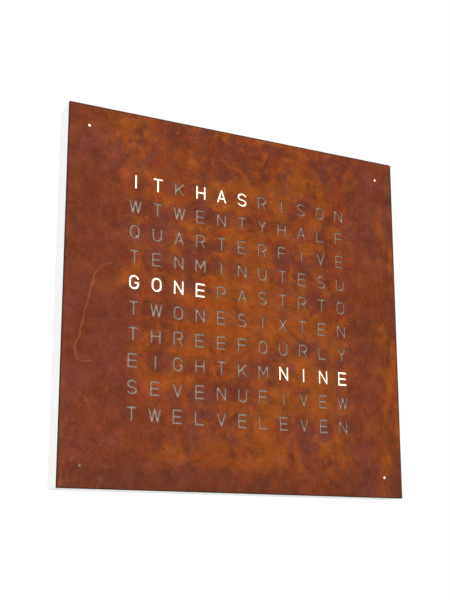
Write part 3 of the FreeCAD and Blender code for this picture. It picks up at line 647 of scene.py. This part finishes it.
# %% Words and lit letters
FIELD_ROWS = ["ITKHASRISON", "WTWENTYHALF", "QUARTERFIVE", "TENMINUTESU", "GONEPASTRTO",
              "TWONESIXTEN", "THREEFOURLY", "EIGHTKMNINE", "SEVENUFIVEW", "TWELVELEVEN"]
LIT_RUNS = [(0, 0, 2), (0, 3, 6), (4, 0, 4), (7, 7, 11)]
LIT_DOTS = [(-1, 1), (1, 1), (1, -1)]

lit = np.zeros((ROWS, COLUMNS), dtype=bool)
for row, first, past in LIT_RUNS:
    lit[row, first:past] = True
column_x = (np.arange(COLUMNS) - (COLUMNS - 1) / 2) * PITCH[0]
row_z = ((ROWS - 1) / 2 - np.arange(ROWS)) * PITCH[1]
words = ["".join(FIELD_ROWS[row][first:past]) for row, first, past in LIT_RUNS]
print("lit:", " ".join(words), "plus", len(LIT_DOTS), "minutes")

# %% [markdown]
# From stroke to opening
#
# A cutting beam leaves a slot of one width with round ends. A slot's outline is
# the stroke's path moved half a width to each side, with half a circle at each
# end. A curve object with a bevel would draw the same slot, but the outline is
# needed as points, to cut with.

# %% Outlines of the strokes
LETTER_H = 14.9 * MM
STROKE_W = 2.25 * MM


def cap(end, along, radius):
    """Half a circle round a stroke's end, from its right side to its left, past the way it points."""
    angle = np.radians(np.linspace(-90, 90, 9))[1:-1, None]
    side = np.array([-along[1], along[0]])
    return end + radius * (np.cos(angle) * along + np.sin(angle) * side)


def band(path, width):
    """The path's outline as one polygon, anticlockwise: path - and + half the width along its normal.

    At an inner point the normal is the mean of its neighbours' normals,
    lengthened so that the band keeps its width round the bend.
    """
    step = np.diff(path, axis=0)
    along = step / np.linalg.norm(step, axis=1, keepdims=True)
    normal = np.stack([-along[:, 1], along[:, 0]], axis=1)
    before = np.concatenate([normal[:1], normal])
    after = np.concatenate([normal, normal[-1:]])
    share = 1 + np.sum(before * after, axis=1, keepdims=True)
    offset = (before + after) / share * width / 2
    return np.concatenate([path - offset, cap(path[-1], along[-1], width / 2),
                           (path + offset)[::-1], cap(path[0], -along[0], width / 2)])


def disc(middle, radius, steps=24):
    """Points round a circle."""
    return bow(middle, (radius, radius), 0, 360, steps + 1)[:-1]


def letter_outlines(letter, middle_x, middle_z):
    """Every stroke of one letter as a polygon, with the letter's middle where it is asked for."""
    strokes = GLYPHS[letter]
    low = min(path[:, 0].min() for path in strokes)
    high = max(path[:, 0].max() for path in strokes)
    shift = np.array([middle_x - (low + high) / 2 * LETTER_H, middle_z - LETTER_H / 2])
    return [band(path * LETTER_H + shift, STROKE_W) for path in strokes]


print("strokes to cut", sum(len(GLYPHS[letter]) for row in FIELD_ROWS for letter in row))

# %% [markdown]
# Cutting the plate
#
# A plate with a few hundred openings is hard work for a Boolean modifier. In
# the flat it is easy: one call splits the square along every stroke's outline
# into triangles, and says which outlines each triangle lies in. Those that lie
# in the square alone are steel. Copied to the rear, and with walls along every
# open edge, they make the closed plate.

# %% Split the square into triangles
CUT_TOLERANCE = 1e-3


def rounded_square(half, radius, steps=6):
    """Outline of a square with round corners, anticlockwise."""
    inner = half - radius
    signs = [(1, 1, 0), (-1, 1, 90), (-1, -1, 180), (1, -1, 270)]
    return np.concatenate([bow((sx * inner, sz * inner), (radius, radius), start, start + 90, steps)
                           for sx, sz, start in signs])


def cut_triangles(outer, cuts):
    """Triangles of the outer outline that lie in none of the cuts, worked out in millimetres."""
    outlines = [outer] + cuts
    starts = np.cumsum([0] + [len(outline) for outline in outlines])
    faces = [list(range(first, past)) for first, past in zip(starts, starts[1:])]
    points = [Vector(point) for point in np.concatenate(outlines) / MM]
    corners, _, triangles, _, _, owners = delaunay_2d_cdt(points, [], faces, 0, CUT_TOLERANCE)
    steel = [triangle for triangle, owner in zip(triangles, owners) if owner == [0]]
    return np.array([tuple(corner) for corner in corners]) * MM, np.array(steel)


print("the plain outline has", len(rounded_square(HALF, CORNER_R)), "points")


# %% Give triangles a thickness
def new_mesh_object(name, points, faces, material):
    """A mesh object at the origin, from its corner points and the corners of each face."""
    mesh = bpy.data.meshes.new(name)
    mesh.from_pydata(points.tolist(), [], faces)
    mesh.materials.append(material)
    piece = bpy.data.objects.new(name, mesh)
    bpy.context.scene.collection.objects.link(piece)
    return piece


def turned_up(flat, triangles):
    """The triangles anticlockwise: those with a negative cross product of two sides are reversed."""
    first, second, third = flat[triangles[:, 0]], flat[triangles[:, 1]], flat[triangles[:, 2]]
    side, other = second - first, third - first
    area = side[:, 0] * other[:, 1] - side[:, 1] * other[:, 0]
    return np.where(area[:, None] > 0, triangles, triangles[:, ::-1])


def open_edges(triangles, count):
    """Edges whose reverse belongs to no triangle: each edge a, b is the number a * count + b."""
    edges = np.concatenate([triangles[:, [0, 1]], triangles[:, [1, 2]], triangles[:, [2, 0]]])
    number = edges[:, 0] * count + edges[:, 1]
    reverse = edges[:, 1] * count + edges[:, 0]
    return edges[~np.isin(number, reverse)]


def thick_plate(name, flat, triangles, front, rear, material):
    """The flat triangles at the front and rear, joined by walls along the open edges."""
    used = np.unique(triangles)
    flat = flat[used]
    count = len(flat)
    triangles = turned_up(flat, np.searchsorted(used, triangles))
    rim = open_edges(triangles, count)
    walls = np.stack([rim[:, 1], rim[:, 0], rim[:, 0] + count, rim[:, 1] + count], axis=1)
    points = np.zeros((2 * count, 3))
    points[:, [0, 2]] = np.concatenate([flat, flat])
    points[:count, 1] = front
    points[count:, 1] = rear
    faces = triangles.tolist() + (triangles[:, ::-1] + count).tolist() + walls.tolist()
    inner = abs(flat[rim[:, 0]]).max(axis=1) < HALF - 2 * CORNER_R
    cut = np.concatenate([np.zeros(2 * len(triangles)), inner])
    piece = new_mesh_object(name, points, faces, material)
    piece.data.attributes.new("cut", "FLOAT", "FACE").data.foreach_set("value", cut)
    return piece, int(inner.sum())


# %% Cut the plate
cuts = [disc((sx * DOT_AT, sz * DOT_AT), DOT_R) for sx in (-1, 1) for sz in (-1, 1)]
for row in range(ROWS):
    for column in range(COLUMNS):
        cuts += letter_outlines(FIELD_ROWS[row][column], column_x[column], row_z[row])
flat_points, steel = cut_triangles(rounded_square(HALF, CORNER_R), cuts)
plate, wall_count = thick_plate("stencil_plate", flat_points, steel, COVER_FRONT, COVER_REAR, RUST)
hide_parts("front_cover")
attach(plate, "cover")
print("plate has", len(plate.data.polygons), "faces, of which", wall_count, "are walls of cuts")

# %% [markdown]
# The glowing sheet
#
# Behind the plate lies one sheet, white in the real clock. Lamps light it from behind,
# cell by cell, so it glows evenly where a letter is lit. Elsewhere it is coloured a dull
# warm grey, painted shade that darkens it where it is seen through the slots. The
# sheet is a net of rectangles whose lines follow the light cells, and each
# rectangle carries a number, glow, that the material reads. Real lamps behind
# the sheet would need many more light rays to look as even.

# %% Net of the sheet and its glow
LIGHT_BOX_HALF = 6 * MM


def net_lines(half, cell_edges):
    """Line places across the sheet: its edges, the light boxes of the dots, and the letter cells."""
    boxes = [DOT_AT - LIGHT_BOX_HALF, DOT_AT + LIGHT_BOX_HALF]
    return np.unique(np.round([-half, half, *boxes, *(-value for value in boxes), *cell_edges], 7))


def glow_of(middle):
    """1 for the rectangles whose middle lies in a lit cell or light box, else 0."""
    cells = [(column_x[column], row_z[row], *PITCH / 2) for row, column in np.argwhere(lit)]
    cells += [(sx * DOT_AT, sz * DOT_AT, LIGHT_BOX_HALF, LIGHT_BOX_HALF) for sx, sz in LIT_DOTS]
    glow = np.zeros(len(middle))
    for x, z, half_x, half_z in cells:
        glow[(abs(middle[:, 0] - x) < half_x) & (abs(middle[:, 2] - z) < half_z)] = 1
    return glow


def make_sheet(material):
    """A net of rectangles over the lines of x and z; each has its glow as an attribute."""
    lines_x = net_lines(sheet_high[0], (np.arange(COLUMNS + 1) - COLUMNS / 2) * PITCH[0])
    lines_z = net_lines(sheet_high[2], (np.arange(ROWS + 1) - ROWS / 2) * PITCH[1])
    grid_x, grid_z = np.meshgrid(lines_x, lines_z)
    points = np.stack([grid_x, np.full_like(grid_x, sheet_low[1]), grid_z], axis=-1).reshape(-1, 3)
    across = len(lines_x)
    corner = np.arange(len(points)).reshape(grid_x.shape)[:-1, :-1].ravel()
    faces = np.stack([corner, corner + 1, corner + across + 1, corner + across], axis=1)
    piece = new_mesh_object("glowing_sheet", points, faces.tolist(), material)
    glow = glow_of(points[faces].mean(axis=1))
    piece.data.attributes.new("glow", "FLOAT", "FACE").data.foreach_set("value", glow)
    return piece, int(glow.sum())


print("lit cells", int(lit.sum()))


# %% Opal sheet that glows
GLOW_STRENGTH = 1.8


def make_opal():
    """Matt sheet, white in the real clock, coloured warm grey as painted shade where it is seen through the
    slots; the glow attribute turns on warm light.
    """
    material, tree, shader = start_material("opal_sheet")
    glow = add(tree, "ShaderNodeAttribute", attribute_name="glow").outputs["Fac"]
    haze = cloud(tree, place_on(tree), 140.0, detail=3.0)
    # Painted shade: these warm greys are darker than the white sheet, so the unlit slots look shaded.
    base = blend(tree, calc(tree, "MULTIPLY", haze, 0.3), screen(192, 172, 156), screen(174, 156, 142))
    tree.links.new(base, shader.inputs["Base Color"])
    tree.links.new(blend(tree, glow, (0, 0, 0, 1), screen(255, 238, 214)), shader.inputs["Emission Color"])
    shader.inputs["Emission Strength"].default_value = GLOW_STRENGTH
    shader.inputs["Roughness"].default_value = 0.45
    return material


sheet, glowing = make_sheet(make_opal())
thicken = sheet.modifiers.new("thickness", "SOLIDIFY")
thicken.thickness = sheet_high[1] - sheet_low[1]
thicken.offset = -1.0
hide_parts("letter_diffuser")
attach(sheet, "cover")
print("rectangles that glow", glowing)

# %% [markdown]
# Finishes of the works
#
# The frame is lacquered white. Behind it are bare glue blocks, a white grid
# that keeps each letter's light to itself, green and white boards, black
# mouldings and plated screws. Each piece gets a finish of its own kind.

# %% Ribbon cable
CORE_PITCH = 1.27 * MM
GROOVE_DEPTH = 0.4 * MM


def make_ribbon():
    """Grey insulation with a groove between its cores, darkened in the groove by painted shade, and a red
    core at one edge.
    """
    material, tree, shader = start_material("ribbon_grey")
    point = place_on(tree)
    x, _ = apart(tree, point)
    low = box_of("ribbon_cable")[0][0]
    along = calc(tree, "DIVIDE", calc(tree, "SUBTRACT", x, low), CORE_PITCH)
    core = calc(tree, "PINGPONG", along, 0.5)
    first = calc(tree, "LESS_THAN", along, 1.0)
    # Painted shade: the insulation is coloured darker grey in the groove between the cores.
    color = blend(tree, ramp(tree, core, 0.02, 0.2), screen(104, 104, 106), screen(152, 152, 154))
    tree.links.new(blend(tree, first, color, screen(176, 40, 34)), shader.inputs["Base Color"])
    raise_bump(tree, shader, core, 0.6, GROOVE_DEPTH)
    rough = calc(tree, "MULTIPLY_ADD", cloud(tree, point, 90.0), 0.2, 0.4)
    tree.links.new(rough, shader.inputs["Roughness"])
    return material


RIBBON = make_ribbon()
print("ribbon has", len(RIBBON.node_tree.nodes), "nodes")

# %% Table of finishes
FINISH_VALUES = {
    "white_lacquer": ((237, 237, 237), 0.34, dict(spread=0.08, tint=0.02, grain=350.0, bump=0.03, coat=0.15)),
    "back_panel": ((214, 214, 212), 0.5, dict(tint=0.04, grain=600.0, bump=0.06)),
    "bare_board": ((182, 146, 104), 0.8, dict(tint=0.25, smudge=60.0, grain=700.0, bump=0.3)),
    "pin_steel": ((170, 170, 168), 0.35, dict(metallic=1.0)),
    "magnet_nickel": ((205, 203, 198), 0.2, dict(metallic=1.0)),
    "grid_white": ((236, 236, 234), 0.6, dict(tint=0.05)),
    "tube_white": ((236, 236, 234), 0.6, dict(tint=0.05)),
    "board_white": ((222, 224, 220), 0.4, dict(tint=0.08)),
    "led_white": ((240, 232, 190), 0.3, {}),
    "chip_black": ((30, 30, 32), 0.5, {}),
    "zinc_screw": ((182, 184, 188), 0.32, dict(metallic=1.0, smudge=80.0)),
    "hanger_zinc": ((176, 178, 182), 0.4, dict(metallic=1.0, smudge=60.0, tint=0.3)),
    "black_plastic": ((34, 34, 36), 0.55, dict(grain=1200.0, bump=0.15)),
    "nut_nickel": ((200, 198, 192), 0.25, dict(metallic=1.0)),
    "board_green": ((28, 92, 52), 0.35, dict(tint=0.2)),
    "spacer_nylon": ((226, 222, 210), 0.5, {}),
    "cell_steel": ((196, 196, 196), 0.28, dict(metallic=1.0)),
    "coil_ferrite": ((52, 52, 54), 0.6, {}),
    "capacitor_can": ((190, 192, 196), 0.3, dict(metallic=1.0)),
    "plug_white": ((222, 219, 210), 0.5, {}),
    "lead_black": ((28, 28, 30), 0.5, {}),
    "button_white": ((236, 236, 234), 0.38, dict(tint=0.03)),
    "plunger_black": ((36, 36, 38), 0.5, {}),
}
FINISHES = {name: finish(name, screen(*color), roughness, **more)
            for name, (color, roughness, more) in FINISH_VALUES.items()}
FINISHES["ribbon_grey"] = RIBBON
print("finishes", len(FINISHES))

# %% Give every piece its finish
REPLACED = {"front_cover", "letter_diffuser", "back_cover_screws", "hanger_screws"}
shown = [part for part in frame["record"]["subparts"] if part["node"] not in REPLACED]
for part in shown:
    materials = frame["nodes"][part["node"]].data.materials
    materials.clear()
    materials.append(FINISHES[part["material_slot"]])
print("pieces finished", len(shown))

# %% [markdown]
# Screws
#
# Three boards and the back cover are held by small screws. A screw is round, so
# it is a profile turned about its axis: one list of radii and heights, and one
# angle that runs round. The cross in the head is pressed in by lowering the
# points that lie in two crossed slots. All screws of a kind are one mesh, and
# numpy makes them in one step by adding every place to every point.

# %% Turned screws with a cross in the head
TURNS = 48
HEAD_ROWS = 9
CROSS_ARM, CROSS_SLOT = 0.62, 0.17


def pressed_in(radius, angle, head_r):
    """Points of the head that the cross has pressed in: along an arm and in a slot's width."""
    u, v = radius[:, None] * np.cos(angle), radius[:, None] * np.sin(angle)
    pressed = (radius[:, None] < CROSS_ARM * head_r) & (np.minimum(abs(u), abs(v)) < CROSS_SLOT * head_r)
    pressed[HEAD_ROWS:] = False
    return pressed


def screw_faces(rows, count):
    """Rectangles between neighbouring rows of each screw, and one many-cornered face at each end."""
    row, turn = np.meshgrid(np.arange(rows - 1), np.arange(TURNS), indexing="ij")
    following = (turn + 1) % TURNS
    quads = np.stack([row * TURNS + turn, (row + 1) * TURNS + turn,
                      (row + 1) * TURNS + following, row * TURNS + following], axis=-1).reshape(-1, 4)
    ends = np.stack([np.arange(TURNS), np.arange(rows * TURNS)[-TURNS:][::-1]])
    starts = np.arange(count)[:, None, None] * rows * TURNS
    return (quads + starts).reshape(-1, 4).tolist() + (ends + starts).reshape(-1, TURNS).tolist()


def make_screws(name, places, outward, across, profile, head_r, depth):
    """One mesh of like screws: place + height * outward + radius * (cos, sin) round the axis.

    The profile, the head's radius and the depth of the cross are in
    millimetres. The first HEAD_ROWS of the profile are the head's face, where
    the cross lowers the height by its depth.
    """
    radius, height = (np.array(profile) * MM).T
    angle = np.linspace(0, 2 * math.pi, TURNS, endpoint=False)
    level = height[:, None] - np.where(pressed_in(radius, angle, head_r * MM), depth * MM, 0.0)
    outward, across = np.array(outward, dtype=float), np.array(across, dtype=float)
    third = np.cross(outward, across)
    round_axis = np.cos(angle)[:, None] * across + np.sin(angle)[:, None] * third
    one = radius[:, None, None] * round_axis + level[..., None] * outward
    points = (np.array(places)[:, None, None, :] + one).reshape(-1, 3)
    piece = new_mesh_object(name, points, screw_faces(len(profile), len(places)), FINISHES["zinc_screw"])
    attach(piece, "housing")
    return piece


print("points round a screw", TURNS)


# %% Profiles of the screws
EDGE_RISE = 0.62            # height of a pan head's edge, as a share of the head's


def pan_profile(head_r, head_h, shank_r, length):
    """Radius and height of a round-topped head and its shank; heights are above the seat.

    The top is edge + (1 - edge) * sqrt(1 - share ** 2) of the head's height.
    """
    rise = 1 - EDGE_RISE
    top = [(share * head_r, head_h * (EDGE_RISE + rise * math.sqrt(1 - share ** 2)))
           for share in np.linspace(0.06, 0.9, HEAD_ROWS)]
    return top + [(head_r, head_h * EDGE_RISE), (head_r, 0), (shank_r, 0), (shank_r, -length),
                  (shank_r / 3, -length - shank_r)]


def sunk_profile(head_r, sunk, shank_r, length):
    """Radius and height of a countersunk head, flat on top, and its shank with a pointed tip."""
    face = [(share * head_r, -sunk) for share in np.linspace(0.06, 0.97, HEAD_ROWS)]
    cone = -sunk - (head_r - shank_r)
    return face + [(head_r, -sunk - 0.03 * head_r), (shank_r, cone), (shank_r, -length + shank_r),
                   (shank_r / 3, -length)]


print("a pan head's profile has", len(pan_profile(2.2, 1.4, 1.1, 8.0)), "points")

# %% [markdown]
# Place the screws
#
# The back cover's screws stand in the middle of the blocks, and the hanger
# plates' screws at the ends of the plates. The boards' screws stand beside the
# back cover's, on the corners of the control board, and at the ends of the
# button board.

# %% Places of the screws
BACK_HEAD = 3.2
HANGER_HEAD = 2.7
BLOCK_AT = 80 * MM
LED_SCREW_BESIDE = 9 * MM
INSET = 4.5 * MM


def quarter_turns(x, y, z):
    """A place and its three copies, each a quarter turn round the clock's middle."""
    return [(x, y, z), (z, y, -x), (-x, y, -z), (-z, y, x)]


def both_ends(low, high, inset):
    """The two places that lie the inset inside a stretch."""
    return low + inset, high - inset


back_high = box_of("back_cover_screws")[1]
hang_low, hang_high = box_of("hanger_screws")
led_rear = box_of("led_board")[0][1]
control_low, control_high = box_of("control_board")
button_low, button_high = box_of("button_board")

screw_row = back_high[2] - BACK_HEAD * MM
back_places = quarter_turns(BLOCK_AT, 0, -screw_row) + quarter_turns(-BLOCK_AT, 0, -screw_row)
hang_x = hang_high[0] - HANGER_HEAD * MM
hang_z = both_ends(hang_low[2], hang_high[2], HANGER_HEAD * MM)
hang_places = [(x, 0, z) for x in (-hang_x, hang_x) for z in hang_z]
led_at = BLOCK_AT + LED_SCREW_BESIDE
led_places = quarter_turns(led_at, led_rear, -screw_row) + quarter_turns(-led_at, led_rear, -screw_row)
control_places = [(x, control_low[1], z) for x in both_ends(control_low[0], control_high[0], INSET)
                  for z in both_ends(control_low[2], control_high[2], INSET)]
button_y = (button_low[1] + button_high[1]) / 2
button_places = [(button_low[0], button_y, z) for z in both_ends(button_low[2], button_high[2], INSET)]
print("places", len(back_places + hang_places + led_places + control_places + button_places))

# %% Screws of the covers and the boards
FROM_REAR, FROM_FRONT, FROM_LEFT = (0, 1, 0), (0, -1, 0), (-1, 0, 0)
LEVEL, UPRIGHT = (1, 0, 0), (0, 0, 1)
SCREWS = {
    "back_cover_cross_screws": (back_places, FROM_REAR, LEVEL, sunk_profile(BACK_HEAD, 0.1, 1.6, 11.1),
                                BACK_HEAD, 0.9),
    "hanger_cross_screws": (hang_places, FROM_REAR, LEVEL, sunk_profile(HANGER_HEAD, 0.0, 1.4, 12.0),
                            HANGER_HEAD, 0.8),
    "led_board_screws": (led_places, FROM_FRONT, LEVEL, pan_profile(2.4, 1.5, 1.2, 8.0), 2.4, 0.6),
    "control_board_screws": (control_places, FROM_FRONT, LEVEL, pan_profile(2.2, 1.4, 1.1, 5.0), 2.2, 0.6),
    "button_board_screws": (button_places, FROM_LEFT, UPRIGHT, pan_profile(2.2, 1.4, 1.1, 8.0), 2.2, 0.6),
}
screws = {name: make_screws(name, *values) for name, values in SCREWS.items()}
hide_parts("back_cover_screws")
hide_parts("hanger_screws")
print("screws", {name: len(values[0]) for name, values in SCREWS.items()})

# %% [markdown]
# Room and light
#
# The clock hangs in a pale room. The background is plain white to the camera
# and in reflections, but lights the clock only as much as a real room would,
# which the Light Path node tells apart. A wide soft lamp from the upper left
# and a weaker one from the lower left give the sides a little shape.

# %% The room round the clock
WORLD_LEVEL = 0.62


def make_world(level):
    """White where the camera, a mirror or glass looks at it; a plain level as light."""
    world = bpy.data.worlds.new("room")
    world.use_nodes = True
    tree = world.node_tree
    path = add(tree, "ShaderNodeLightPath").outputs
    seen = calc(tree, "MAXIMUM", path["Is Camera Ray"], path["Is Transmission Ray"])
    seen = calc(tree, "MAXIMUM", seen, path["Is Glossy Ray"])
    strength = add(tree, "ShaderNodeMapRange", {"Value": seen, "To Min": level, "To Max": 1.0}).outputs[0]
    tree.links.new(strength, tree.nodes["Background"].inputs["Strength"])
    tree.nodes["Background"].inputs["Color"].default_value = (1, 1, 1, 1)
    bpy.context.scene.world = world


make_world(WORLD_LEVEL)
print("the room lights at", WORLD_LEVEL)


# %% Lamps
def soft_lamp(name, place, width, power, target=(0, COVER_FRONT, 0)):
    """A square area lamp that faces its target."""
    lamp = bpy.data.lights.new(name, "AREA")
    lamp.size = width
    lamp.energy = power
    holder = bpy.data.objects.new(name, lamp)
    direction = Vector(place) - Vector(target)
    holder.rotation_euler = direction.to_track_quat("Z", "Y").to_euler()
    holder.location = place
    bpy.context.scene.collection.objects.link(holder)


soft_lamp("key_lamp", (-1.3, -2.2, 1.6), 1.6, 34)
soft_lamp("fill_lamp", (-1.8, -1.2, -0.6), 1.4, 14)
print("lamps", [lamp.name for lamp in bpy.data.lights])

# %% [markdown]
# The floor
#
# Far under the clock lies a pale floor, so that a view from above or from the
# side shows where down is. A lamp of its own behind the clock keeps it pale.

# %% Floor and its lamp
FLOOR_HEIGHT, FLOOR_HALF = -1.6, 6.0


def make_floor(height, half):
    """One pale square at the height; half is half its width."""
    material, tree, shader = start_material("pale_floor")
    grain = cloud(tree, place_on(tree), 30.0, detail=3.0)
    pale = blend(tree, grain, screen(246, 246, 246), screen(250, 250, 250))
    tree.links.new(pale, shader.inputs["Base Color"])
    shader.inputs["Roughness"].default_value = 0.8
    corners = np.array([(-half, -half, height), (half, -half, height),
                        (half, half, height), (-half, half, height)])
    new_mesh_object("floor", corners, [[0, 1, 2, 3]], material)


make_floor(FLOOR_HEIGHT, FLOOR_HALF)
soft_lamp("floor_lamp", (0, 2.2, 2.6), 3.0, 18, target=(0, 1.6, FLOOR_HEIGHT))
print("the floor lies", -FLOOR_HEIGHT, "m under the clock's middle")
bpy.context.scene.view_settings.view_transform = "Standard"
